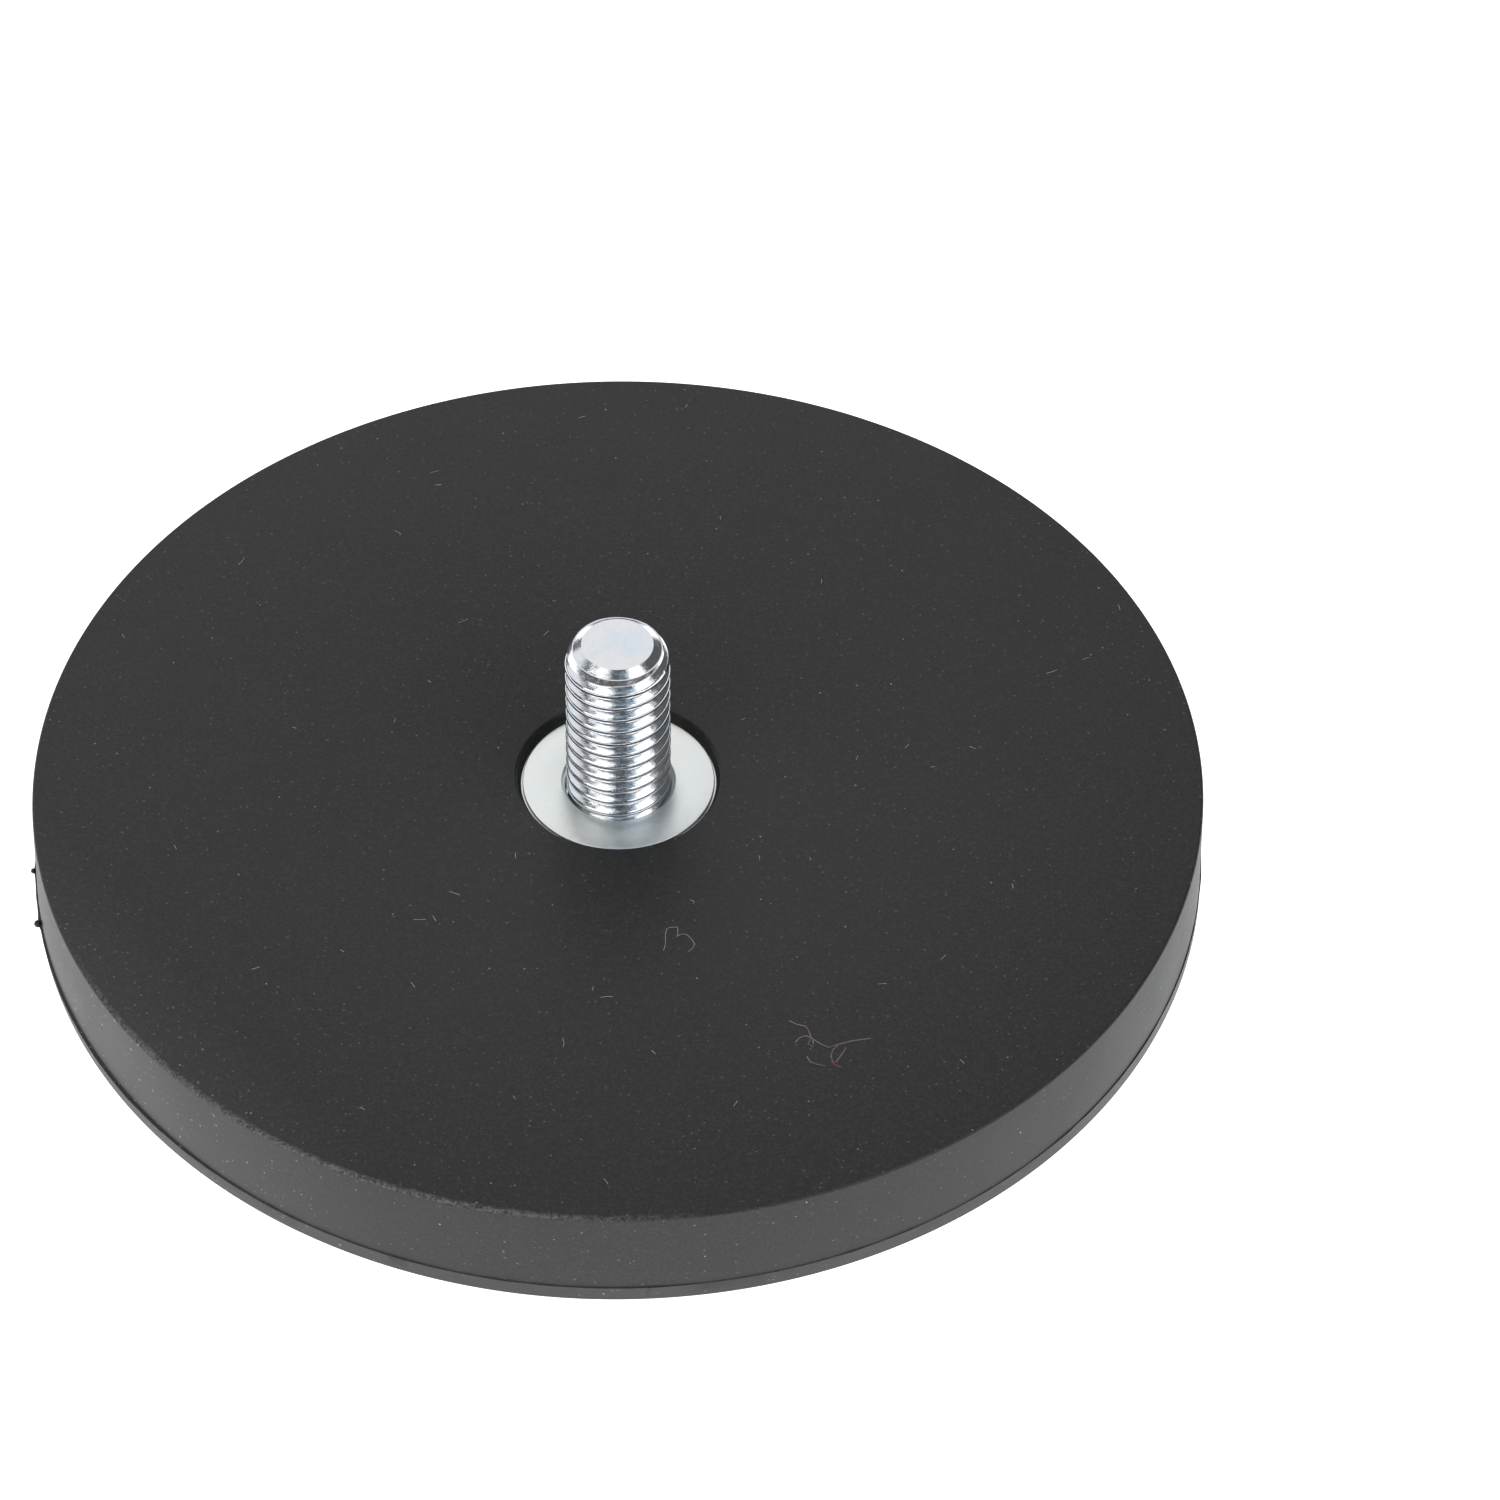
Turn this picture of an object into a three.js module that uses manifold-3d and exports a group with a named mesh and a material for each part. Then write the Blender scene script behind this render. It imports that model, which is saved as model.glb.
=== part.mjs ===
// A rubber-coated holding magnet with a threaded stud: a moulded rubber jacket round a steel
// plate, a ring of magnet discs stuck under the plate, and a stud pressed up through its bore.
// Millimetres, +Z up. The stud's axis is Z, and the origin is the middle of the holding face.

import * as THREE from 'three';
import { mergeVertices } from 'three/addons/utils/BufferGeometryUtils.js';
import Module from 'manifold-3d';

const wasm = await Module();
wasm.setup();

// ---- Driving dimensions -------------------------------------------------------------------

const jacketRadius = 44;
const jacketHeight = 8.5;
const jacketEdgeRound = 0.3;
const lowerBandRadius = 44.15; // the lower mould half leaves a band that stands a little proud
const lowerBandHeight = 1.3;
const holdingSkin = 0.9; // rubber under the magnets
const coverSkin = 0.8; // rubber over the plate
const slip = 0.1; // daylight left between pieces that touch in the real assembly

const windowRimRadius = 7.7; // the window in the rubber round the stud, at the top face

const plateRadius = 42;
const plateThickness = 2.5;
const plateBoreRadius = 4.3;
const plateEdgeBreak = 0.25;
const bossRadius = 7.23; // the middle of the plate stands up into the window
const bossHeight = 0.3;
const bossEdgeBreak = 0.15;

const magnetCount = 18;
const magnetRadius = 6;
const magnetThickness = 4;
const magnetChamfer = 0.3;
const magnetRingRadius = 35.8;

const threadRadius = 3.94; // M8, at the middle of its crest tolerance
const threadPitch = 1.25;
const threadDepth = 0.5413 * threadPitch; // five eighths of a sharp 60 degree profile
const crestShare = 1 / 8; // width of the flat on the crest, in pitches
const rootShare = 1 / 4; // width of the flat in the root, in pitches
const studReach = 14.3; // from the boss's top face to the stud's end
const studEndRadius = 2.68;
const headRadius = 6.5;
const headThickness = 1.6;
const headEdgeBreak = 0.3;
const collarRadius = 4.2; // knurled shoulder that is pressed into the plate's bore
const collarHeight = 1.7;
const knurlDepth = 0.12;

const roundSides = 96; // facets round the large pieces
const magnetSides = 24;
const studSides = 24;
const edgeSteps = 2; // facets across the jacket's rounded edges
const rowsPerTurn = 6; // rows of points along one turn of thread
const samePoint = 1e-3; // points closer than this are one point
const fullTurn = Math.PI * 2;

// ---- Levels worked out from them, from the holding face up ----------------------------------

const magnetBottom = holdingSkin + slip;
const magnetTop = magnetBottom + magnetThickness;
const plateBottom = magnetTop + slip;
const plateTop = plateBottom + plateThickness;
const coverUnderside = jacketHeight - coverSkin;
const windowFootRadius = bossRadius + slip;
const pocketFloor = plateBottom - slip;
const headBottom = pocketFloor - headThickness;
const collarTop = pocketFloor + collarHeight;
const bossTop = plateTop + bossHeight;
const studTop = bossTop + studReach;

// ---- Finishes -------------------------------------------------------------------------------

function finish(color, roughness, metalness) {
  return new THREE.MeshStandardMaterial({ color, roughness, metalness });
}

const blackRubber = finish('#3a3a3a', 0.7, 0);
const zincPlate = finish('#c9ccce', 0.42, 1);
const brightZinc = finish('#d7dde2', 0.2, 1);
const nickelPlate = finish('#c8c3b8', 0.25, 1);

// ---- Shapes ---------------------------------------------------------------------------------

// Turns an outline of [radius, height] points about the Z axis.
function turned(outline, sides) {
  const points = outline.map(([radius, height]) => new THREE.Vector2(radius, height));
  const geometry = new THREE.LatheGeometry(points, sides);
  geometry.rotateX(Math.PI / 2);
  return geometry;
}

// Points of a quarter round about a centre, from one angle (in quarter turns) to the next.
function quarterRound(centreRadius, centreHeight, size, fromQuarter) {
  const points = [];
  for (let step = 0; step <= edgeSteps; step += 1) {
    const angle = (fromQuarter + step / edgeSteps) * Math.PI / 2;
    points.push([centreRadius + size * Math.cos(angle), centreHeight + size * Math.sin(angle)]);
  }
  return points;
}

// A closed mesh as a solid that can be cut. Points that coincide are merged first, and the
// flat slivers that merging leaves on the axis are dropped.
function solidOf(geometry) {
  const bare = geometry.clone();
  bare.deleteAttribute('normal');
  bare.deleteAttribute('uv');
  const merged = mergeVertices(bare, samePoint);
  const corners = merged.index.array;
  const kept = [];
  for (let i = 0; i < corners.length; i += 3) {
    const [a, b, c] = corners.slice(i, i + 3);
    if (a !== b && b !== c && c !== a) {
      kept.push(a, b, c);
    }
  }
  return new wasm.Manifold(new wasm.Mesh({
    numProp: 3,
    vertProperties: new Float32Array(merged.attributes.position.array),
    triVerts: new Uint32Array(kept),
  }));
}

function geometryOf(solid) {
  const mesh = solid.getMesh();
  const geometry = new THREE.BufferGeometry();
  geometry.setAttribute('position', new THREE.BufferAttribute(mesh.vertProperties, 3));
  geometry.setIndex(new THREE.BufferAttribute(mesh.triVerts, 1));
  geometry.computeVertexNormals();
  return geometry;
}

// A plain disc standing on a level, for cutting a pocket.
function discCutter(radius, bottom, top, sides) {
  const geometry = turned([[0, bottom], [radius, bottom], [radius, top], [0, top]], sides);
  return solidOf(geometry);
}

// The angle round Z of one magnet.
function magnetAngle(number) {
  return number / magnetCount * fullTurn;
}

// ---- The pieces -----------------------------------------------------------------------------

// The jacket is one moulding, open only at the window round the stud. Inside are the plate's
// pocket, and below it one pocket for each magnet and one for the stud's head.
function jacketGeometry() {
  const bandCentre = lowerBandRadius - jacketEdgeRound;
  const sideCentre = jacketRadius - jacketEdgeRound;
  const outline = [
    [0, 0],
    ...quarterRound(bandCentre, jacketEdgeRound, jacketEdgeRound, -1),
    [lowerBandRadius, lowerBandHeight],
    [jacketRadius, lowerBandHeight],
    ...quarterRound(sideCentre, jacketHeight - jacketEdgeRound, jacketEdgeRound, 0),
    [windowRimRadius, jacketHeight],
    [windowFootRadius, coverUnderside],
    [plateRadius + slip, coverUnderside],
    [plateRadius + slip, pocketFloor],
    [0, pocketFloor],
  ];
  let jacket = solidOf(turned(outline, roundSides));

  const aboveFloor = pocketFloor + slip;
  const headPocket = discCutter(headRadius + slip, headBottom - slip, aboveFloor, studSides);
  jacket = jacket.subtract(headPocket);

  for (let number = 0; number < magnetCount; number += 1) {
    const angle = magnetAngle(number);
    const pocket = discCutter(magnetRadius + slip, holdingSkin, aboveFloor, magnetSides);
    const degrees = THREE.MathUtils.radToDeg(angle);
    const placed = pocket.rotate([0, 0, degrees]).translate([
      magnetRingRadius * Math.cos(angle),
      magnetRingRadius * Math.sin(angle),
      0,
    ]);
    jacket = jacket.subtract(placed);
  }
  return geometryOf(jacket);
}

// A punched disc with broken edges, a low pressed boss and the bore that takes the stud.
function plateGeometry() {
  return turned([
    [plateBoreRadius, plateBottom],
    [plateRadius - plateEdgeBreak, plateBottom],
    [plateRadius, plateBottom + plateEdgeBreak],
    [plateRadius, plateTop - plateEdgeBreak],
    [plateRadius - plateEdgeBreak, plateTop],
    [bossRadius, plateTop],
    [bossRadius, bossTop - bossEdgeBreak],
    [bossRadius - bossEdgeBreak, bossTop],
    [plateBoreRadius, bossTop],
    [plateBoreRadius, plateBottom],
  ], roundSides);
}

// A magnet disc with a chamfer round both faces, standing on the level z = 0.
function magnetGeometry() {
  return turned([
    [0, 0],
    [magnetRadius - magnetChamfer, 0],
    [magnetRadius, magnetChamfer],
    [magnetRadius, magnetThickness - magnetChamfer],
    [magnetRadius - magnetChamfer, magnetThickness],
    [0, magnetThickness],
  ], magnetSides);
}

// The radius of a right-hand 60 degree thread at a height and an angle: a flat crest, a flat
// root, and straight flanks between them.
function threadSurfaceRadius(height, angle) {
  const turns = height / threadPitch - angle / fullTurn;
  const share = turns - Math.floor(turns);
  const fromCrest = Math.min(share, 1 - share);
  const flankStart = crestShare / 2;
  const flankEnd = (1 - rootShare) / 2;
  const downFlank = (fromCrest - flankStart) / (flankEnd - flankStart);
  return threadRadius - threadDepth * THREE.MathUtils.clamp(downFlank, 0, 1);
}

// The radius of the knurled collar, whose ridges and grooves take turns round its facets.
function knurlRadius(angle) {
  const facet = Math.round(angle / fullTurn * studSides);
  return collarRadius - knurlDepth * Math.abs(facet % 2);
}

// The stud: a flat head under the plate, a knurled collar in its bore, and the thread, whose
// end is chamfered at 45 degrees down to a flat face. It is turned as a plain shaft first, and
// the collar and the shank are then cut to their real surfaces point by point.
function studGeometry() {
  const outline = [
    [0, headBottom],
    [headRadius - headEdgeBreak, headBottom],
    [headRadius, headBottom + headEdgeBreak],
    [headRadius, pocketFloor],
    [collarRadius, pocketFloor],
    [collarRadius, collarTop],
  ];
  const shankLength = studTop - collarTop;
  const rowCount = Math.round(shankLength / threadPitch * rowsPerTurn);
  for (let row = 1; row <= rowCount; row += 1) {
    outline.push([threadRadius, collarTop + shankLength * row / rowCount]);
  }
  outline.push([0, studTop]);

  const geometry = turned(outline, studSides);
  const points = geometry.attributes.position;
  for (let i = 0; i < points.count; i += 1) {
    const radius = Math.hypot(points.getX(i), points.getY(i));
    const height = points.getZ(i);
    const angle = Math.atan2(points.getY(i), points.getX(i));
    let cutRadius = radius;
    if (Math.abs(radius - collarRadius) < samePoint) {
      cutRadius = knurlRadius(angle);
    } else if (Math.abs(radius - threadRadius) < samePoint) {
      const chamferRadius = studEndRadius + studTop - height;
      cutRadius = Math.min(threadSurfaceRadius(height, angle), chamferRadius);
    }
    if (radius > samePoint) {
      points.setX(i, points.getX(i) * cutRadius / radius);
      points.setY(i, points.getY(i) * cutRadius / radius);
    }
  }
  geometry.computeVertexNormals();
  return geometry;
}

// ---- The assembly ---------------------------------------------------------------------------

function piece(name, geometry, material) {
  const mesh = new THREE.Mesh(geometry, material);
  mesh.name = name;
  return mesh;
}

const magnetRing = new THREE.Group();
for (let number = 0; number < magnetCount; number += 1) {
  const name = `magnet_${String(number + 1).padStart(2, '0')}`;
  const magnet = piece(name, magnetGeometry(), nickelPlate.clone());
  const angle = magnetAngle(number);
  magnet.position.set(
    magnetRingRadius * Math.cos(angle),
    magnetRingRadius * Math.sin(angle),
    magnetBottom,
  );
  magnet.rotation.z = angle;
  magnetRing.add(magnet);
}

const group = new THREE.Group();
group.add(piece('rubber_jacket', jacketGeometry(), blackRubber));
group.add(piece('steel_plate', plateGeometry(), zincPlate));
group.add(piece('threaded_stud', studGeometry(), brightZinc));
group.add(magnetRing);

export default group;
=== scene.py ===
"""Looks for a rubber-coated holding magnet with a threaded stud.

The jacket, the plate, the stud and the magnet discs are rebuilt at full detail in the space that
their CAD solids hold. Lengths are written in millimetres and turned to metres by MM.
"""

import math
import random

import bmesh
import bpy
from mathutils import Matrix, Vector, noise


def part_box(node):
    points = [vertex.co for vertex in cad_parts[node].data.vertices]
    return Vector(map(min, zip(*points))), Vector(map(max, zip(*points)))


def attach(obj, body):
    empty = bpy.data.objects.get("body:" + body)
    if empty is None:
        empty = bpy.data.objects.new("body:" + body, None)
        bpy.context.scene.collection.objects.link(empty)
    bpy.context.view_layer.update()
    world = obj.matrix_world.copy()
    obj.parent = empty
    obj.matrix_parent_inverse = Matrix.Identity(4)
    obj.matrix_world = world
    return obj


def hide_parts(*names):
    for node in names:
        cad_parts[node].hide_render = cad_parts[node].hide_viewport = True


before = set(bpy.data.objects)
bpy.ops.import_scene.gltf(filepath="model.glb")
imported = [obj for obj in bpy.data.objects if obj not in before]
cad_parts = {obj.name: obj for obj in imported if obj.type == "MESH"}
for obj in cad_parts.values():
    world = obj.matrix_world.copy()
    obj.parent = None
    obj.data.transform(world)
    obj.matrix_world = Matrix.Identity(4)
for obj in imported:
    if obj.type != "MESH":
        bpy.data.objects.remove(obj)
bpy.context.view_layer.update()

MM = 0.001
FULL_TURN = 2 * math.pi
UP = Vector((0, 0, 1))
CENTRE = Vector((0, 0, 0))


# ---- Sizes ------------------------------------------------------------------------------------

JACKET_RADIUS = 44.0
BAND_RADIUS = 44.20
BAND_HEIGHT = 1.3
WALL_FOOT_RADIUS = 44.14
PARTING_STEP = 0.05
FLASH_REACH = 0.02
LEFT_FLASH_REACH = 0.13
LEFT_FLASH_BEARING = -62
LEFT_FLASH_SPREAD = 24
NUB_CENTRE_RADIUS = JACKET_RADIUS + 0.29
EDGE_ROUND = 0.22
FOOT_ROUND = 0.08
WINDOW_RIM_RADIUS = 7.74
WINDOW_WALL_RADIUS = 7.62
WINDOW_FOOT_RADIUS = 7.36
WINDOW_RIM_ROUND = 0.12
WINDOW_FOOT_HEIGHT = 0.35
SLIP = 0.1
JACKET_STEPS = 720

PLATE_RADIUS = 42.0
PLATE_BORE_RADIUS = 4.3
MOUTH_RADIUS = 4.04
MOUTH_CHAMFER = 0.26
PLATE_EDGE_BREAK = 0.25
BOSS_RADIUS = 7.24
BOSS_EDGE_ROUND = 0.08
MOUTH_EDGE_ROUND = 0.05
BOSS_HEIGHT = 0.3
PLATE_STEPS = 180

THREAD_CREST_RADIUS = 3.94
THREAD_PITCH = 1.25
ROOT_ROUND = 0.16
CREST_ROUND = 0.31
THREAD_PHASE = -0.33
THREAD_STEPS = 96
STUD_END_RADIUS = 2.68
BLANK_STEPS = 100
END_STEPS = 84
HEAD_RADIUS = 6.5
HEAD_CORNER = 0.25
COLLAR_RADIUS = 4.2
COLLAR_HEIGHT = 1.7
OVERLAP = 0.3
KNURL_DEPTH = 0.12
KNURL_RIDGES = 48

MAGNET_CORNER = 0.35
MAGNET_STEPS = 72

jacket_low, jacket_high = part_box("rubber_jacket")
plate_low, plate_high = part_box("steel_plate")
stud_low, stud_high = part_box("threaded_stud")

JACKET_TOP = jacket_high.z / MM
PLATE_BOTTOM = plate_low.z / MM
BOSS_TOP = plate_high.z / MM
PLATE_TOP = BOSS_TOP - BOSS_HEIGHT
STUD_BOTTOM = stud_low.z / MM
STUD_TOP = stud_high.z / MM
COLLAR_BOTTOM = PLATE_BOTTOM - SLIP
COLLAR_TOP = COLLAR_BOTTOM + COLLAR_HEIGHT
MAGNET_NODES = sorted(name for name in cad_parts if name.startswith("magnet_"))


# ---- Materials --------------------------------------------------------------------------------


def linear(hex_colour):
    """Turns an sRGB hex colour into the linear RGBA that a shader socket takes."""
    channels = []
    for start in (1, 3, 5):
        value = int(hex_colour[start:start + 2], 16) / 255
        if value <= 0.04045:
            channels.append(value / 12.92)
        else:
            channels.append(((value + 0.055) / 1.055) ** 2.4)
    return (*channels, 1.0)


def add_node(tree, kind, settings=None, inputs=None):
    """Adds a node. An input is a value, or another node's output, which is linked."""
    node = tree.nodes.new(kind)
    for name, value in (settings or {}).items():
        setattr(node, name, value)
    for socket, value in (inputs or {}).items():
        if isinstance(value, bpy.types.NodeSocket):
            tree.links.new(value, node.inputs[socket])
        else:
            node.inputs[socket].default_value = value
    return node


def new_material(name):
    """Makes an empty material and gives its tree, its shader and its Object coordinates."""
    material = bpy.data.materials.new(name)
    material.use_nodes = True
    tree = material.node_tree
    tree.nodes.clear()
    shader = add_node(tree, "ShaderNodeBsdfPrincipled")
    add_node(tree, "ShaderNodeOutputMaterial", inputs={"Surface": shader.outputs["BSDF"]})
    place = add_node(tree, "ShaderNodeTexCoord").outputs["Object"]
    return material, tree, shader, place


def per_metre(size_mm):
    """The Scale of a texture whose cells or waves are size_mm across."""
    return 1000 / size_mm


# The places of a colour Mix node's sockets.
MIX_FACTOR = 0
MIX_FIRST = 6
MIX_SECOND = 7
MIX_RESULT = 2


# Pale dust on the rubber, one line for each kind of grain: the size of the cell that may hold a
# grain, in millimetres; the share of cells that stay empty; the grain's smallest and largest
# radius as parts of a cell; and the faintest and strongest cover. The second kind has a share
# above 1, so it lies only where the rim's dust lowers it.
DUST = (
    (0.55, 0.40, 0.08, 0.18, 0.02, 0.14),
    (0.60, 1.12, 0.10, 0.20, 0.06, 0.30),
    (0.90, 0.80, 0.04, 0.085, 0.08, 0.60),
)
RIM_DUST_SIDE = Vector((-0.80, -0.60, 0.0))
# The side of the upper edge that gets a painted highlight, where it would mirror the front left
# box.
HIGHLIGHT_EDGE_SIDE = Vector((-0.47, -0.88, 0.0))


def ramp_between(tree, value, start, end, low=0.0, high=1.0):
    """A value that climbs from low to high as another goes from start to end."""
    return add_node(tree, "ShaderNodeMapRange", inputs={
        "Value": value, "From Min": start, "From Max": end,
        "To Min": low, "To Max": high}).outputs["Result"]


def reckon(tree, operation, *values):
    """A Math node's result."""
    return add_node(tree, "ShaderNodeMath", {"operation": operation},
                    dict(enumerate(values))).outputs["Value"]


def moulded_black_rubber():
    """Thermoplastic rubber from a blasted steel mould: dull black, with a faint fine grain that
    greys at a glancing angle, pale dust that its tacky surface has picked up, and a painted
    highlight along the front left of its upper edge."""
    material, tree, shader, place = new_material("moulded_black_rubber")
    tone = add_node(tree, "ShaderNodeTexNoise", inputs={
        "Vector": place, "Scale": per_metre(9.0), "Detail": 3.0, "Roughness": 0.6})
    body = add_node(tree, "ShaderNodeMix", {"data_type": "RGBA"}, {
        MIX_FACTOR: tone.outputs["Fac"],
        MIX_FIRST: linear("#1c1b1a"),
        MIX_SECOND: linear("#222120")})

    # Pale dust, thicker along the front left of the rim: a haze of faint grains near 0.1 mm
    # across, grains that lie only along that rim, and fewer bright ones up to 0.2 mm across.
    along_rim_side = add_node(tree, "ShaderNodeVectorMath", {"operation": "DOT_PRODUCT"}, {
        0: place, 1: RIM_DUST_SIDE}).outputs["Value"]
    rim_dust = ramp_between(tree, along_rim_side, 37 * MM, 43.5 * MM, 0.0, 0.50)
    colour = body.outputs[MIX_RESULT]
    for cell_mm, empty_share, smallest, largest, faintest, strongest in DUST:
        cells = add_node(tree, "ShaderNodeTexVoronoi", {"feature": "F1"}, {
            "Vector": place, "Scale": per_metre(cell_mm), "Randomness": 1.0})
        chance = add_node(tree, "ShaderNodeSeparateColor", inputs={
            "Color": cells.outputs["Color"]})
        limit = reckon(tree, "SUBTRACT", empty_share, rim_dust)
        chosen = reckon(tree, "GREATER_THAN", chance.outputs["Red"], limit)
        size = ramp_between(tree, chance.outputs["Green"], 0.0, 1.0, smallest, largest)
        inside = reckon(tree, "LESS_THAN", cells.outputs["Distance"], size)
        strength = ramp_between(tree, chance.outputs["Blue"], 0.0, 1.0, faintest, strongest)
        speck = reckon(tree, "MULTIPLY", inside, chosen)
        dusted = add_node(tree, "ShaderNodeMix", {"data_type": "RGBA"}, {
            MIX_FACTOR: reckon(tree, "MULTIPLY", speck, strength),
            MIX_FIRST: colour,
            MIX_SECOND: linear("#d8d5d0")})
        colour = dusted.outputs[MIX_RESULT]

    # A thin film of dust between the grains, thicker where the rim's grains are, and a patchy
    # painted highlight on the front left of the upper edge, where that edge would mirror the front
    # left box.
    film = add_node(tree, "ShaderNodeTexNoise", inputs={
        "Vector": place, "Scale": per_metre(0.24), "Detail": 3.0, "Roughness": 0.7})
    thin_film = ramp_between(tree, film.outputs["Fac"], 0.45, 0.80, 0.0, 0.04)
    rim_film = reckon(tree, "MULTIPLY_ADD", rim_dust, 0.04, thin_film)
    flat_place = add_node(tree, "ShaderNodeVectorMath", {"operation": "MULTIPLY"}, {
        0: place, 1: Vector((1.0, 1.0, 0.0))})
    radius = add_node(tree, "ShaderNodeVectorMath", {"operation": "LENGTH"}, {
        0: flat_place.outputs["Vector"]})
    height = add_node(tree, "ShaderNodeSeparateXYZ", inputs={"Vector": place})
    near_rim = ramp_between(tree, radius.outputs["Value"], 43.45 * MM, 43.75 * MM)
    near_top = ramp_between(tree, height.outputs["Z"], 8.30 * MM, 8.42 * MM)
    # Painted highlight: the rounded upper edge is lightened, patchily, on its front left.
    along_highlight_side = add_node(tree, "ShaderNodeVectorMath", {"operation": "DOT_PRODUCT"}, {
        0: place, 1: HIGHLIGHT_EDGE_SIDE}).outputs["Value"]
    highlight_side = ramp_between(tree, along_highlight_side, 34.5 * MM, 41 * MM, 0.0, 0.22)
    edge = reckon(tree, "MULTIPLY", near_rim, near_top)
    patchy = ramp_between(tree, film.outputs["Fac"], 0.35, 0.65)
    edge_highlight = reckon(tree, "MULTIPLY", edge, patchy)
    dust_and_highlight = add_node(tree, "ShaderNodeMix", {"data_type": "RGBA"}, {
        MIX_FACTOR: reckon(tree, "MULTIPLY_ADD", edge_highlight, highlight_side, rim_film),
        MIX_FIRST: colour,
        MIX_SECOND: linear("#c9c8c5")})
    tree.links.new(dust_and_highlight.outputs[MIX_RESULT], shader.inputs["Base Color"])

    # The blasted mould's grain is about 0.1 mm; it is drawn at 0.25 mm, as coarse as it shows.
    blast = add_node(tree, "ShaderNodeTexNoise", inputs={
        "Vector": place, "Scale": per_metre(0.25), "Detail": 2.0, "Roughness": 0.6})
    waviness = add_node(tree, "ShaderNodeTexNoise", inputs={
        "Vector": place, "Scale": per_metre(6.0), "Detail": 1.0})
    slow_bump = add_node(tree, "ShaderNodeBump", inputs={
        "Height": waviness.outputs["Fac"], "Strength": 0.12, "Distance": 0.1 * MM})
    bump = add_node(tree, "ShaderNodeBump", inputs={
        "Height": blast.outputs["Fac"], "Normal": slow_bump.outputs["Normal"],
        "Strength": 0.8, "Distance": 0.02 * MM})
    tree.links.new(bump.outputs["Normal"], shader.inputs["Normal"])
    roughness = ramp_between(tree, tone.outputs["Fac"], 0.3, 0.7, 0.32, 0.38)
    grainy = reckon(tree, "MULTIPLY_ADD", film.outputs["Fac"], 0.22, roughness)
    tree.links.new(grainy, shader.inputs["Roughness"])
    shader.inputs["IOR"].default_value = 1.5
    shader.inputs["Specular IOR Level"].default_value = 0.38
    return material


def satin_zinc_plate():
    """Steel plate with barrel zinc plating and a clear blue passivation: a light satin grey,
    finely mottled, with weak tints of blue, green and straw."""
    material, tree, shader, place = new_material("satin_zinc_plate")
    tint = add_node(tree, "ShaderNodeTexNoise", inputs={
        "Vector": place, "Scale": per_metre(4.5), "Detail": 2.0, "Roughness": 0.5})
    ramp = add_node(tree, "ShaderNodeValToRGB", inputs={"Fac": tint.outputs["Fac"]})
    ramp.color_ramp.elements[0].position = 0.30
    ramp.color_ramp.elements[0].color = linear("#f1f5f9")
    ramp.color_ramp.elements[1].position = 0.70
    ramp.color_ramp.elements[1].color = linear("#f7f6f1")
    middle = ramp.color_ramp.elements.new(0.5)
    middle.color = linear("#f2f6f4")
    mottle = add_node(tree, "ShaderNodeTexNoise", inputs={
        "Vector": place, "Scale": per_metre(0.45), "Detail": 3.0, "Roughness": 0.65})
    shade = ramp_between(tree, mottle.outputs["Fac"], 0.3, 0.7, 0.92, 1.0)
    colour = add_node(tree, "ShaderNodeMix", {"data_type": "RGBA", "blend_type": "MULTIPLY"}, {
        MIX_FACTOR: 1.0,
        MIX_FIRST: ramp.outputs["Color"],
        MIX_SECOND: shade})
    tree.links.new(colour.outputs[MIX_RESULT], shader.inputs["Base Color"])
    roughness = ramp_between(tree, mottle.outputs["Fac"], 0.3, 0.7, 0.32, 0.42)
    tree.links.new(roughness, shader.inputs["Roughness"])
    # Zinc crystals are some 0.02 mm; they are drawn at 0.15 mm, as coarse as they show.
    crystals = add_node(tree, "ShaderNodeTexNoise", inputs={
        "Vector": place, "Scale": per_metre(0.15), "Detail": 2.0})
    bump = add_node(tree, "ShaderNodeBump", inputs={
        "Height": crystals.outputs["Fac"], "Strength": 0.2, "Distance": 0.005 * MM})
    tree.links.new(bump.outputs["Normal"], shader.inputs["Normal"])
    shader.inputs["Metallic"].default_value = 1.0
    return material


def bright_zinc_thread():
    """Rolled thread with bright zinc plating and a blue passivation: a near-mirror cool white,
    with pale blue where the passivation film is thicker and small pits left by the rolling."""
    material, tree, shader, place = new_material("bright_zinc_thread")
    film = add_node(tree, "ShaderNodeTexNoise", inputs={
        "Vector": place, "Scale": per_metre(2.6), "Detail": 2.0, "Roughness": 0.5})
    ramp = add_node(tree, "ShaderNodeValToRGB", inputs={"Fac": film.outputs["Fac"]})
    ramp.color_ramp.elements[0].position = 0.45
    ramp.color_ramp.elements[0].color = linear("#dfe1e5")
    ramp.color_ramp.elements[1].position = 0.75
    ramp.color_ramp.elements[1].color = linear("#d4dee6")
    tree.links.new(ramp.outputs["Color"], shader.inputs["Base Color"])
    pits = add_node(tree, "ShaderNodeTexNoise", inputs={
        "Vector": place, "Scale": per_metre(0.35), "Detail": 3.0, "Roughness": 0.7})
    roughness = ramp_between(tree, pits.outputs["Fac"], 0.35, 0.7, 0.10, 0.26)
    tree.links.new(roughness, shader.inputs["Roughness"])
    bump = add_node(tree, "ShaderNodeBump", inputs={
        "Height": pits.outputs["Fac"], "Strength": 0.3, "Distance": 0.03 * MM})
    tree.links.new(bump.outputs["Normal"], shader.inputs["Normal"])
    shader.inputs["Metallic"].default_value = 1.0
    return material


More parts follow.
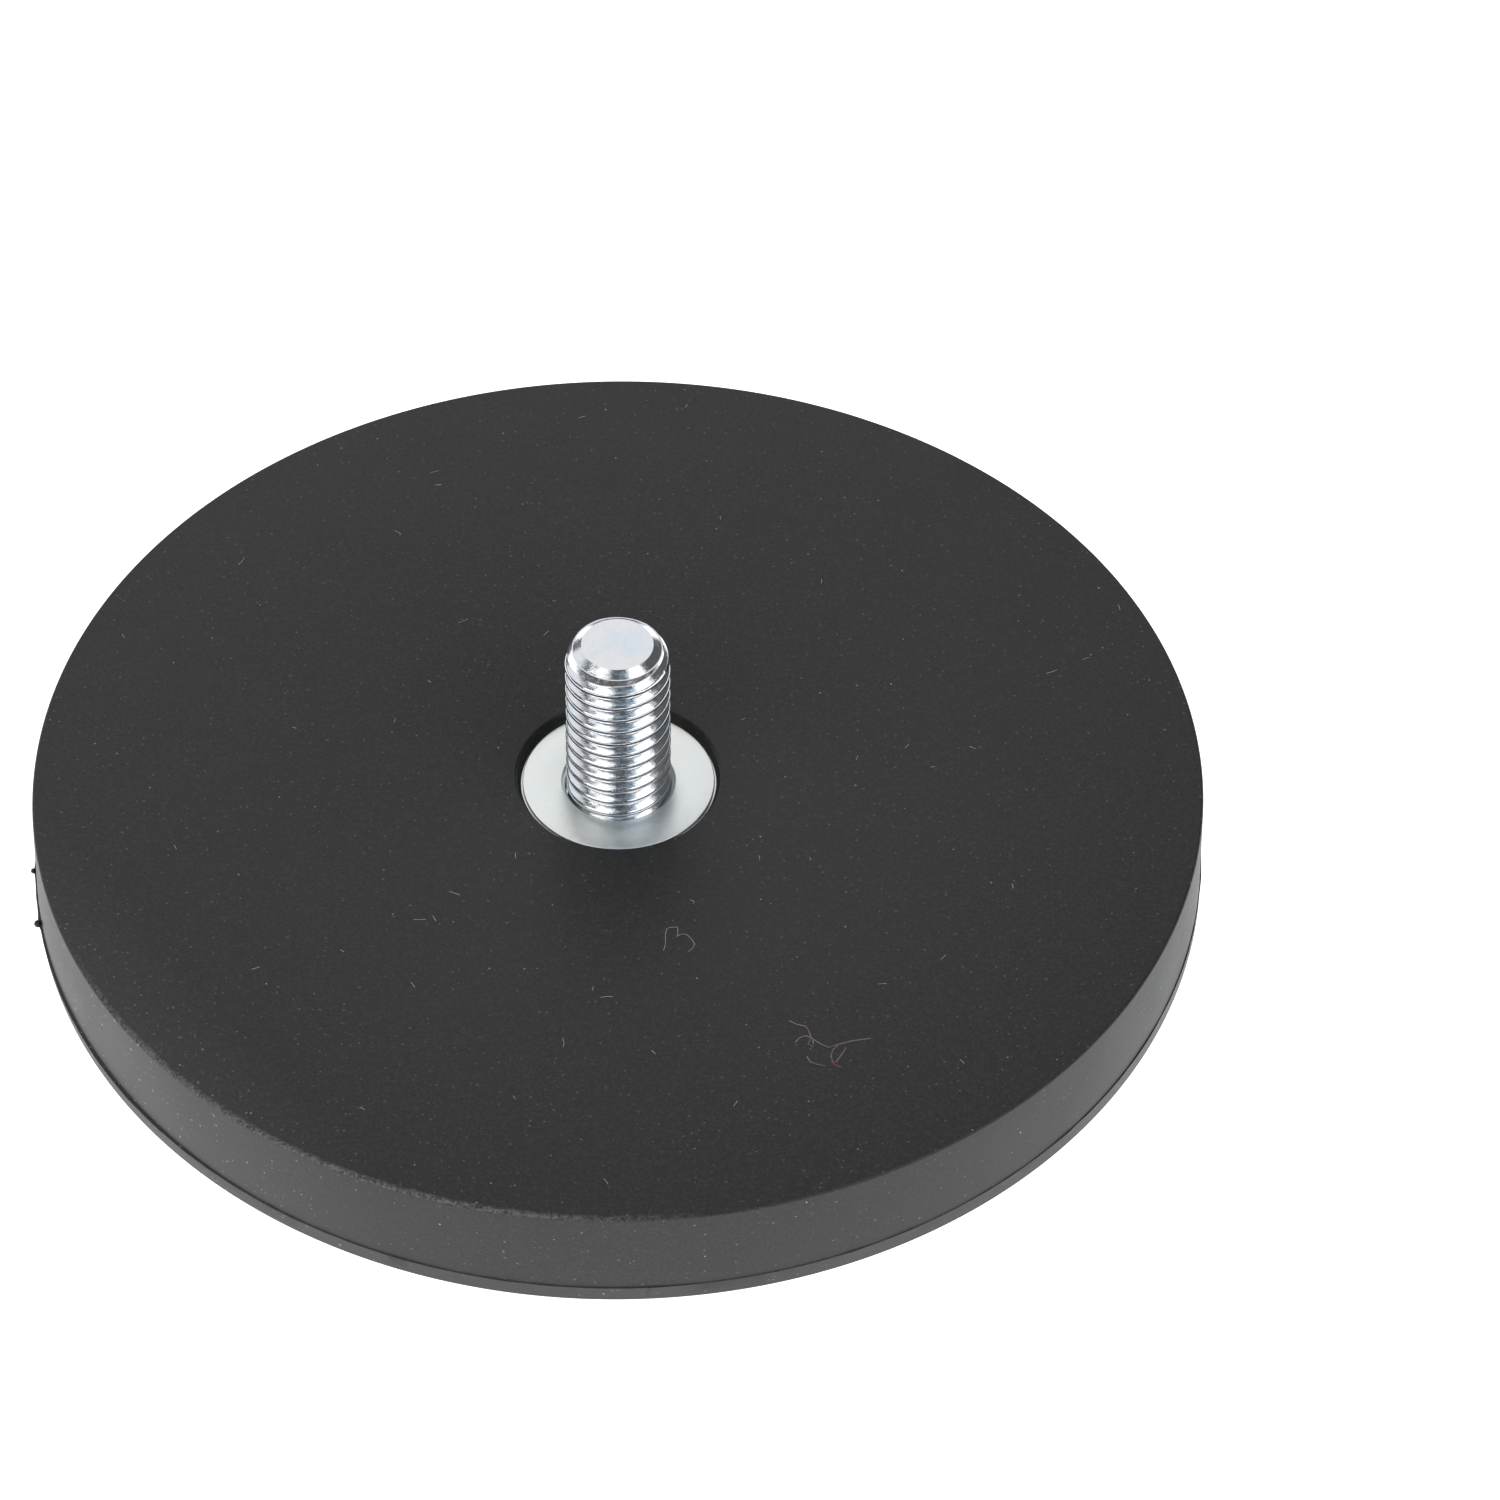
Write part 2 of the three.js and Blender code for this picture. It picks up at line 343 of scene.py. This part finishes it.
def bright_nickel_plating():
    """Nickel plating on a sintered disc: a warm bright grey with a slightly orange-peel skin."""
    material, tree, shader, place = new_material("bright_nickel_plating")
    peel = add_node(tree, "ShaderNodeTexNoise", inputs={
        "Vector": place, "Scale": per_metre(0.6), "Detail": 2.0})
    shade = add_node(tree, "ShaderNodeMix", {"data_type": "RGBA"}, {
        MIX_FACTOR: peel.outputs["Fac"],
        MIX_FIRST: linear("#cfc9bb"),
        MIX_SECOND: linear("#dad5c9")})
    tree.links.new(shade.outputs[MIX_RESULT], shader.inputs["Base Color"])
    bump = add_node(tree, "ShaderNodeBump", inputs={
        "Height": peel.outputs["Fac"], "Strength": 0.15, "Distance": 0.01 * MM})
    tree.links.new(bump.outputs["Normal"], shader.inputs["Normal"])
    shader.inputs["Metallic"].default_value = 1.0
    shader.inputs["Roughness"].default_value = 0.16
    return material


# ---- Making pieces ----------------------------------------------------------------------------


def add_outline(bm, points):
    """Adds a line of edges through points, each (radius, height) in millimetres."""
    corners = [bm.verts.new((radius * MM, 0, height * MM)) for radius, height in points]
    for first, second in zip(corners, corners[1:]):
        bm.edges.new((first, second))
    return corners


def round_corners(bm, corners, size, segments):
    """Rounds corners of an outline before it is turned; size is in millimetres."""
    bmesh.ops.bevel(bm, geom=corners, offset=size * MM, offset_type="OFFSET", segments=segments,
                    profile=0.5, affect="VERTICES", material=-1)


def turn(bm, steps):
    """Turns the outline once round the stud's axis and closes the seam and the poles."""
    bmesh.ops.spin(bm, geom=bm.verts[:] + bm.edges[:], cent=CENTRE, axis=UP, dvec=CENTRE,
                   angle=FULL_TURN, steps=steps, use_merge=True, use_duplicate=False)
    bmesh.ops.remove_doubles(bm, verts=bm.verts[:], dist=0.0005 * MM)
    bmesh.ops.recalc_face_normals(bm, faces=bm.faces[:])


def make_object(name, bm):
    """Makes an object at the origin from the finished bmesh."""
    mesh = bpy.data.meshes.new(name)
    bm.to_mesh(mesh)
    bm.free()
    made = bpy.data.objects.new(name, mesh)
    bpy.context.scene.collection.objects.link(made)
    return made


def combine(target, tool, operation):
    """Cuts, joins or keeps what is shared, and leaves the result in the target's mesh."""
    modifier = target.modifiers.new("combine", "BOOLEAN")
    modifier.operation = operation
    modifier.object = tool
    modifier.solver = "EXACT"
    bpy.context.view_layer.update()
    seen = target.evaluated_get(bpy.context.evaluated_depsgraph_get())
    result = bpy.data.meshes.new_from_object(seen)
    target.modifiers.clear()
    old_mesh = target.data
    bm = bmesh.new()
    bm.from_mesh(result)
    bmesh.ops.remove_doubles(bm, verts=bm.verts[:], dist=0.0005 * MM)
    bm.to_mesh(result)
    bm.free()
    target.data = result
    bpy.data.meshes.remove(old_mesh)
    bpy.data.objects.remove(tool)


def dress(piece, material, sharp_degrees):
    """Gives a piece its material, smooth shading and crisp edges, and lets it ride."""
    piece.data.materials.clear()
    piece.data.materials.append(material)
    piece.data.shade_smooth()
    piece.data.set_sharp_from_angle(angle=math.radians(sharp_degrees))
    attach(piece, "root")


def stand_for(piece, slot, *nodes):
    """Hides the CAD nodes that a piece stands for; the finish it takes is not used."""
    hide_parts(*nodes)


# ---- The rubber jacket ------------------------------------------------------------------------


def from_front(bearing_degrees, elevation_degrees, distance):
    """A place round the object; bearings run from the front towards the right."""
    round_about = math.radians(bearing_degrees)
    above = math.radians(elevation_degrees)
    return Vector((math.sin(round_about) * math.cos(above),
                   -math.cos(round_about) * math.cos(above),
                   math.sin(above))) * distance


def bearing(point):
    """The bearing of a point in degrees, from the front towards the right."""
    return math.degrees(math.atan2(point.x, -point.y))


# Blobs of flash at the parting line: bearing in degrees, then size and reach in millimetres.
NUBS = ((-85.0, 0.22, 0.20), (-77.9, 0.30, 0.28), (118.0, 0.20, 0.12), (171.0, 0.22, 0.16))


def flash_reach(point):
    """How much further than the plain ridge the flash reaches at a point, in millimetres: most
    on the left, where the two halves of the mould closed worst."""
    spot = point.normalized()
    reach = 0.03 * noise.noise(spot * 9.0) + 0.03 * noise.noise(spot * 34.0 + Vector((5, 2, 8)))
    from_worst = (bearing(point) - LEFT_FLASH_BEARING) / LEFT_FLASH_SPREAD
    reach += LEFT_FLASH_REACH * math.exp(-from_worst ** 2)
    for nub_bearing, nub_size, nub_reach in NUBS:
        away = (bearing(point) - nub_bearing + 180) % 360 - 180
        along = math.radians(away) * JACKET_RADIUS
        reach += 0.4 * nub_reach * math.exp(-(along / (2 * nub_size)) ** 2)
    return reach


def rubber_jacket():
    bm = bmesh.new()
    corners = add_outline(bm, [
        (0, 0),
        (BAND_RADIUS, 0),
        (BAND_RADIUS, BAND_HEIGHT - PARTING_STEP),
        (BAND_RADIUS + FLASH_REACH, BAND_HEIGHT),
        (WALL_FOOT_RADIUS, BAND_HEIGHT + PARTING_STEP),
        (JACKET_RADIUS, JACKET_TOP),
        (WINDOW_RIM_RADIUS, JACKET_TOP),
        (WINDOW_WALL_RADIUS, PLATE_TOP + WINDOW_FOOT_HEIGHT),
        (WINDOW_FOOT_RADIUS, PLATE_TOP + SLIP),
        (PLATE_RADIUS + SLIP, PLATE_TOP + SLIP),
        (PLATE_RADIUS + SLIP, COLLAR_BOTTOM),
        (HEAD_RADIUS + SLIP, COLLAR_BOTTOM),
        (HEAD_RADIUS + SLIP, STUD_BOTTOM - SLIP),
        (0, STUD_BOTTOM - SLIP),
    ])
    round_corners(bm, [corners[1]], FOOT_ROUND, 2)
    round_corners(bm, [corners[5]], EDGE_ROUND, 5)
    round_corners(bm, [corners[6]], WINDOW_RIM_ROUND, 3)
    turn(bm, JACKET_STEPS)
    ridge_height = BAND_HEIGHT * MM
    for vert in bm.verts:
        flat = Vector((vert.co.x, vert.co.y, 0))
        radius = flat.length
        if radius > BAND_RADIUS * MM and abs(vert.co.z - ridge_height) < 0.02 * MM:
            vert.co += flat.normalized() * flash_reach(vert.co) * MM
        if radius < (WINDOW_RIM_RADIUS + 0.3) * MM and vert.co.z > (JACKET_TOP - 0.5) * MM:
            vert.co += flat.normalized() * window_waver(vert.co) * MM
    jacket = make_object("rubber_jacket_skin", bm)
    pockets = bmesh.new()
    for name in MAGNET_NODES:
        low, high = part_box(name)
        middle = (low + high) / 2
        depth = high.z - low.z + 2 * SLIP * MM
        bmesh.ops.create_cone(pockets, cap_ends=True, segments=MAGNET_STEPS,
                              radius1=(high.x - low.x) / 2 + SLIP * MM,
                              radius2=(high.x - low.x) / 2 + SLIP * MM,
                              depth=depth, matrix=Matrix.Translation(middle))
    combine(jacket, make_object("pocket_tool", pockets), "DIFFERENCE")
    nubs = bmesh.new()
    for nub_bearing, nub_size, nub_reach in NUBS:
        middle = NUB_CENTRE_RADIUS + nub_reach - nub_size / 2
        spot = from_front(nub_bearing, 0, middle * MM) + UP * BAND_HEIGHT * MM
        bmesh.ops.create_icosphere(nubs, subdivisions=2, radius=nub_size * MM,
                                   matrix=Matrix.Translation(spot))
    combine(jacket, make_object("nub_tool", nubs), "UNION")
    return jacket


def window_waver(point):
    """How far the window's rim wanders from a circle, in millimetres: it bulges a little on the
    near side, where the flash was trimmed."""
    spot = point.normalized()
    waver = 0.035 * noise.noise(spot * 3.0 + Vector((3, 1, 4)))
    for kink_bearing, kink_reach, kink_width in ((40, 0.10, 9), (-38, 0.09, 10)):
        away = bearing(point) - kink_bearing
        waver += kink_reach * math.exp(-(away / kink_width) ** 2)
    return waver


# ---- The steel plate --------------------------------------------------------------------------


def steel_plate():
    bm = bmesh.new()
    corners = add_outline(bm, [
        (PLATE_BORE_RADIUS, PLATE_BOTTOM),
        (PLATE_RADIUS, PLATE_BOTTOM),
        (PLATE_RADIUS, PLATE_TOP),
        (BOSS_RADIUS, PLATE_TOP),
        (BOSS_RADIUS, BOSS_TOP),
        (MOUTH_RADIUS + MOUTH_CHAMFER, BOSS_TOP),
        (MOUTH_RADIUS, BOSS_TOP - MOUTH_CHAMFER),
        (MOUTH_RADIUS, COLLAR_TOP + SLIP),
        (PLATE_BORE_RADIUS, COLLAR_TOP + SLIP),
    ])
    bm.edges.new((corners[-1], corners[0]))
    round_corners(bm, [corners[1], corners[2]], PLATE_EDGE_BREAK, 3)
    round_corners(bm, [corners[4]], BOSS_EDGE_ROUND, 4)
    round_corners(bm, [corners[5]], MOUTH_EDGE_ROUND, 2)
    turn(bm, PLATE_STEPS)
    return make_object("steel_plate_turned", bm)


# ---- The stud ---------------------------------------------------------------------------------


def thread_outline(bottom, top):
    """One side of the thread from bottom to top: round roots, straight flanks, round crests."""
    points = []
    lean_of_flank = math.radians(60)
    crest_centre = THREAD_CREST_RADIUS - CREST_ROUND
    flank_top = crest_centre + CREST_ROUND * math.cos(lean_of_flank)
    flank_height = THREAD_PITCH / 2 - (CREST_ROUND + ROOT_ROUND) * math.sin(lean_of_flank)
    flank_foot = flank_top - flank_height * math.tan(lean_of_flank)
    root_centre = flank_foot + ROOT_ROUND * math.cos(lean_of_flank)
    turns = math.ceil((top - bottom) / THREAD_PITCH)
    for turn_number in range(turns):
        root_height = bottom + turn_number * THREAD_PITCH
        for degrees in (-60, -30, 0, 30, 60):
            lean = math.radians(degrees)
            points.append((root_centre - ROOT_ROUND * math.cos(lean),
                           root_height + ROOT_ROUND * math.sin(lean)))
        for degrees in range(-60, 61, 15):
            lean = math.radians(degrees)
            points.append((crest_centre + CREST_ROUND * math.cos(lean),
                           root_height + THREAD_PITCH / 2 + CREST_ROUND * math.sin(lean)))
    return points


def threaded_shank(bottom, top):
    """A right-hand thread: its outline climbs one pitch as it turns once."""
    bm = bmesh.new()
    start = (math.floor(bottom / THREAD_PITCH) - 2.5 + THREAD_PHASE) * THREAD_PITCH
    add_outline(bm, thread_outline(start, top + 2 * THREAD_PITCH))
    climb = UP * (THREAD_PITCH * MM / THREAD_STEPS)
    bmesh.ops.spin(bm, geom=bm.verts[:] + bm.edges[:], cent=CENTRE, axis=UP, dvec=climb,
                   angle=FULL_TURN, steps=THREAD_STEPS, use_merge=False, use_duplicate=False)
    bmesh.ops.remove_doubles(bm, verts=bm.verts[:], dist=0.002 * MM)
    for height, outer, inner in ((bottom - 0.5, False, True), (top + 0.5, True, False)):
        bmesh.ops.bisect_plane(bm, geom=bm.verts[:] + bm.edges[:] + bm.faces[:],
                               plane_co=UP * height * MM, plane_no=UP,
                               clear_outer=outer, clear_inner=inner)
        rim = [edge for edge in bm.edges if edge.is_boundary
               and abs(edge.verts[0].co.z - height * MM) < 0.001 * MM]
        bmesh.ops.edgeloop_fill(bm, edges=rim)
    bmesh.ops.recalc_face_normals(bm, faces=bm.faces[:])
    return make_object("threaded_stud_rolled", bm)


def turned(name, points, steps):
    """A tool or blank that is simply turned from its outline."""
    bm = bmesh.new()
    add_outline(bm, points)
    turn(bm, steps)
    return make_object(name, bm)


def filled_end(top):
    """Metal that closes the last groove under the chamfer, where the dies leave it shallow."""
    outline = [(0, 2.2), (3.05, 2.2), (3.22, 1.6), (3.36, 1.1), (3.38, 0.58), (3.26, 0.45),
               (STUD_END_RADIUS - 0.02, 0.01), (0, 0.01)]
    return turned("end_tool", [(radius, top - drop) for radius, drop in outline], END_STEPS)


def knurled_collar():
    """The straight-knurled collar that is pressed into the plate's bore."""
    bm = bmesh.new()
    made = bmesh.ops.create_circle(bm, cap_ends=True, segments=2 * KNURL_RIDGES,
                                   radius=COLLAR_RADIUS * MM)
    for number, vert in enumerate(made["verts"]):
        if number % 2:
            vert.co *= (COLLAR_RADIUS - KNURL_DEPTH) / COLLAR_RADIUS
        vert.co.z = (COLLAR_BOTTOM - OVERLAP) * MM
    raised = bmesh.ops.extrude_face_region(bm, geom=bm.faces[:])
    lifted = [item for item in raised["geom"] if isinstance(item, bmesh.types.BMVert)]
    bmesh.ops.translate(bm, verts=lifted, vec=UP * (COLLAR_HEIGHT + OVERLAP) * MM)
    bmesh.ops.recalc_face_normals(bm, faces=bm.faces[:])
    return make_object("collar_tool", bm)


def flat_head():
    """The flat head that keeps the stud from being pulled out through the plate."""
    bm = bmesh.new()
    corners = add_outline(bm, [
        (0, STUD_BOTTOM),
        (HEAD_RADIUS, STUD_BOTTOM),
        (HEAD_RADIUS, COLLAR_BOTTOM),
        (0, COLLAR_BOTTOM),
    ])
    round_corners(bm, [corners[1], corners[2]], HEAD_CORNER, 3)
    turn(bm, THREAD_STEPS)
    return make_object("head_tool", bm)


def threaded_stud():
    shank_bottom = COLLAR_TOP - 0.4
    stud = threaded_shank(shank_bottom, STUD_TOP)
    wide = THREAD_CREST_RADIUS + 0.6
    # The blank is pointed before the thread is rolled, so the last crests stay low; the end is
    # then turned flat with a chamfer.
    kept = [(0, shank_bottom), (wide, shank_bottom)]
    for radius, drop in ((wide, 2.6), (3.96, 1.95), (3.91, 1.52), (3.77, 1.14), (3.58, 0.80),
                         (3.37, 0.45), (3.28, 0.45), (STUD_END_RADIUS, 0), (0, 0)):
        kept.append((radius, STUD_TOP - drop))
    combine(stud, turned("blank_tool", kept, BLANK_STEPS), "INTERSECT")
    combine(stud, filled_end(STUD_TOP), "UNION")
    combine(stud, knurled_collar(), "UNION")
    combine(stud, flat_head(), "UNION")
    return stud


# ---- The magnet discs -------------------------------------------------------------------------


def magnet_disc(node_name):
    """A sintered disc with its corners tumbled round."""
    low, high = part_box(node_name)
    middle = (low + high) / 2
    bm = bmesh.new()
    radius = (high.x - low.x) / 2
    bmesh.ops.create_cone(bm, cap_ends=True, segments=MAGNET_STEPS, radius1=radius, radius2=radius,
                          depth=high.z - low.z, matrix=Matrix.Translation(middle))
    rims = [edge for edge in bm.edges if abs(edge.verts[0].co.z - edge.verts[1].co.z) < 0.001 * MM]
    bmesh.ops.bevel(bm, geom=rims, offset=MAGNET_CORNER * MM, offset_type="OFFSET", segments=4,
                    profile=0.5, affect="EDGES", material=-1)
    return make_object(node_name + "_disc", bm)


# ---- Lint on the rubber -----------------------------------------------------------------------


FIBRE_POINTS = 6
LOOSE_FIBRES = 46
WINDOW_CLEARANCE = 9


def curl(start, heading, length, bend):
    """A fibre's path on the rubber's top: it leaves start, in millimetres, and keeps turning."""
    path = []
    spot = Vector(start)
    step = length / (FIBRE_POINTS - 1)
    for number in range(FIBRE_POINTS):
        path.append(spot.copy())
        spot += Vector((math.cos(heading), math.sin(heading), 0)) * step
        heading += bend * step
    return path


def fibres(name, paths, thickness):
    """Thin three-sided fibres that follow the paths."""
    line = bpy.data.curves.new(name, "CURVE")
    line.dimensions = "3D"
    line.bevel_depth = thickness / 2 * MM
    line.bevel_resolution = 0
    line.use_fill_caps = True
    for path in paths:
        spline = line.splines.new("POLY")
        spline.points.add(len(path) - 1)
        for point, place in zip(spline.points, path):
            point.co = (place.x * MM, place.y * MM, place.z * MM, 1)
    drawn = bpy.data.objects.new(name + "_line", line)
    bpy.context.scene.collection.objects.link(drawn)
    bpy.context.view_layer.update()
    seen = drawn.evaluated_get(bpy.context.evaluated_depsgraph_get())
    mesh = bpy.data.meshes.new_from_object(seen)
    bpy.data.objects.remove(drawn)
    made = bpy.data.objects.new(name, mesh)
    bpy.context.scene.collection.objects.link(made)
    return made


def fibre_material(name, hex_colour):
    """Loose textile fibre: dull, with slubs a shade lighter and darker along it."""
    material, tree, shader, place = new_material(name)
    slub = add_node(tree, "ShaderNodeTexNoise", inputs={"Vector": place, "Scale": per_metre(0.4)})
    shade = ramp_between(tree, slub.outputs["Fac"], 0.3, 0.7, 0.55, 1.0)
    colour = add_node(tree, "ShaderNodeMix", {"data_type": "RGBA", "blend_type": "MULTIPLY"}, {
        MIX_FACTOR: 1.0,
        MIX_FIRST: linear(hex_colour),
        MIX_SECOND: shade})
    tree.links.new(colour.outputs[MIX_RESULT], shader.inputs["Base Color"])
    shader.inputs["Roughness"].default_value = 0.9
    return material


# Places along the fibres that lie near the front, in millimetres.
LOOPED_FIBRE = ((3.69, -18.05), (3.83, -17.32), (3.80, -16.50), (3.88, -15.87), (4.10, -15.72),
                (4.69, -15.67), (4.72, -16.10), (4.62, -16.64), (4.82, -16.44), (5.10, -16.35),
                (5.41, -16.45), (5.75, -16.90), (5.97, -17.37), (5.80, -17.80), (5.52, -18.10))
TANGLE = (
    ((12.95, -24.85), (13.49, -25.19), (14.12, -25.35), (14.34, -25.77), (14.53, -26.49),
     (15.16, -27.03), (15.79, -27.40), (16.48, -27.09), (17.49, -26.74), (18.84, -26.47)),
    ((16.48, -27.18), (16.10, -27.60), (15.95, -28.28), (16.16, -28.95)),
    ((17.05, -27.42), (16.67, -28.19), (16.29, -28.86)),
    ((13.34, -26.97), (13.71, -26.46), (14.15, -26.28), (14.53, -26.49)),
    ((14.53, -26.49), (14.28, -27.12), (14.66, -27.29), (14.41, -27.63)),
    ((14.22, -28.31), (14.47, -28.81), (14.85, -29.01), (15.54, -29.21)),
    ((15.98, -28.70), (16.16, -29.00), (16.45, -29.20), (16.73, -29.28)),
)


def lint():
    """Short pale fibres scattered over the top, a looped one near the front, and a tangle."""
    chooser = random.Random(29)
    height = JACKET_TOP + 0.02
    pale_paths = []
    while len(pale_paths) < LOOSE_FIBRES:
        distance = (JACKET_RADIUS - 1) * math.sqrt(chooser.random())
        if distance < WINDOW_CLEARANCE:
            continue
        around = chooser.uniform(0, FULL_TURN)
        start = (distance * math.cos(around), distance * math.sin(around), height)
        length = chooser.choice((0.35, 0.45, 0.6, 0.9))
        bend = chooser.uniform(-0.8, 0.8)
        pale_paths.append(curl(start, chooser.uniform(0, FULL_TURN), length, bend))
    pale_paths.append([Vector((x, y, height)) for x, y in LOOPED_FIBRE])
    pale = fibres("pale_lint", pale_paths, 0.045)
    dress(pale, fibre_material("pale_cotton_lint", "#b9bab8"), 40)
    tangle = [[Vector((x, y, height)) for x, y in path] for path in TANGLE]
    brown = fibres("brown_lint", tangle[:-1], 0.11)
    dress(brown, fibre_material("brown_wool_lint", "#857873"), 40)
    red = fibres("red_lint", tangle[-1:], 0.10)
    dress(red, fibre_material("red_wool_lint", "#a8585a"), 40)


# ---- Build ------------------------------------------------------------------------------------

rubber = moulded_black_rubber()
satin_zinc = satin_zinc_plate()
bright_zinc = bright_zinc_thread()
nickel = bright_nickel_plating()

jacket = rubber_jacket()
dress(jacket, rubber, 40)
stand_for(jacket, "black_rubber", "rubber_jacket")

plate = steel_plate()
dress(plate, satin_zinc, 40)
stand_for(plate, "zinc_plated_plate", "steel_plate")

stud = threaded_stud()
dress(stud, bright_zinc, 35)
stand_for(stud, "bright_zinc_stud", "threaded_stud")

lint()

for magnet_node in MAGNET_NODES:
    disc = magnet_disc(magnet_node)
    dress(disc, nickel, 40)
    stand_for(disc, "nickel_plated_magnet", magnet_node)


# ---- Floor, light and camera ------------------------------------------------------------------


def pale_floor():
    bm = bmesh.new()
    bmesh.ops.create_grid(bm, x_segments=1, y_segments=1, size=4.0)
    floor = make_object("pale_floor", bm)
    material, tree, shader, place = new_material("white_paper_sweep")
    tooth = add_node(tree, "ShaderNodeTexNoise", inputs={"Vector": place, "Scale": per_metre(1.5)})
    colour = add_node(tree, "ShaderNodeMix", {"data_type": "RGBA"}, {
        MIX_FACTOR: tooth.outputs["Fac"],
        MIX_FIRST: linear("#f6f6f6"),
        MIX_SECOND: linear("#f8f8f8")})
    tree.links.new(colour.outputs[MIX_RESULT], shader.inputs["Base Color"])
    shader.inputs["Roughness"].default_value = 0.9
    shader.inputs["Emission Color"].default_value = linear("#ffffff")
    shader.inputs["Emission Strength"].default_value = 1.1
    floor.data.materials.append(material)
    floor.location.z = -0.0001


def soft_box(name, centre, facing, width, height, brightness, colour="#ffffff"):
    """A soft box whose face is evenly bright. It stands at centre, in metres, and faces a point."""
    lamp = bpy.data.lights.new(name, "AREA")
    lamp.shape = "RECTANGLE"
    lamp.size = width
    lamp.size_y = height
    lamp.energy = brightness * math.pi * width * height
    lamp.color = linear(colour)[:3]
    made = bpy.data.objects.new(name, lamp)
    bpy.context.scene.collection.objects.link(made)
    made.location = centre
    made.rotation_euler = (Vector(centre) - Vector(facing)).to_track_quat("Z", "Y").to_euler()


def studio_world():
    world = bpy.data.worlds.new("studio_walls")
    world.use_nodes = True
    backdrop = world.node_tree.nodes["Background"]
    backdrop.inputs["Color"].default_value = linear("#f4f6f8")
    backdrop.inputs["Strength"].default_value = 0.12
    bpy.context.scene.world = world


def camera():
    """A long lens, 507 mm from the object, looking down at it from the front."""
    lens = bpy.data.cameras.new("front_camera")
    lens.sensor_width = 36
    lens.lens = 157.18
    lens.clip_start = 0.05
    lens.clip_end = 20
    distance = 506.684
    elevation = math.radians(45.519)
    roll = math.radians(0.607)
    target = Vector((9.87, 11.03, 0.0))
    look = Vector((0, math.cos(elevation), -math.sin(elevation)))
    right = Vector((1, 0, 0))
    upright = right.cross(look)
    rolled_right = math.cos(roll) * right + math.sin(roll) * upright
    rolled_up = math.cos(roll) * upright - math.sin(roll) * right
    made = bpy.data.objects.new("front_camera", lens)
    bpy.context.scene.collection.objects.link(made)
    turned = Matrix((rolled_right, rolled_up, -look)).transposed().to_4x4()
    made.matrix_world = Matrix.Translation((target - distance * look) * MM) @ turned
    bpy.context.scene.camera = made


pale_floor()
soft_box("front_left_box", from_front(-48, 36, 1.0), CENTRE, 0.85, 0.54, 2.1)
soft_box("front_right_box", from_front(48, 36, 1.0), CENTRE, 0.85, 0.54, 2.1)
soft_box("overhead_left_box", (-0.43, -0.22, 1.0), (-0.43, -0.22, 0), 0.46, 0.56, 1.8)
soft_box("overhead_right_box", (0.59, -0.17, 1.0), (0.59, -0.17, 0), 0.47, 0.66, 1.8)
soft_box("overhead_gap_box", (0.10, -0.19, 1.0), (0.10, -0.19, 0), 0.52, 0.44, 1.0, "#a8dcff")
soft_box("back_wall_box", (-0.45, 0.85, 0.85), CENTRE, 2.2, 1.2, 0.9)
studio_world()
camera()
bpy.context.scene.view_settings.view_transform = "Standard"
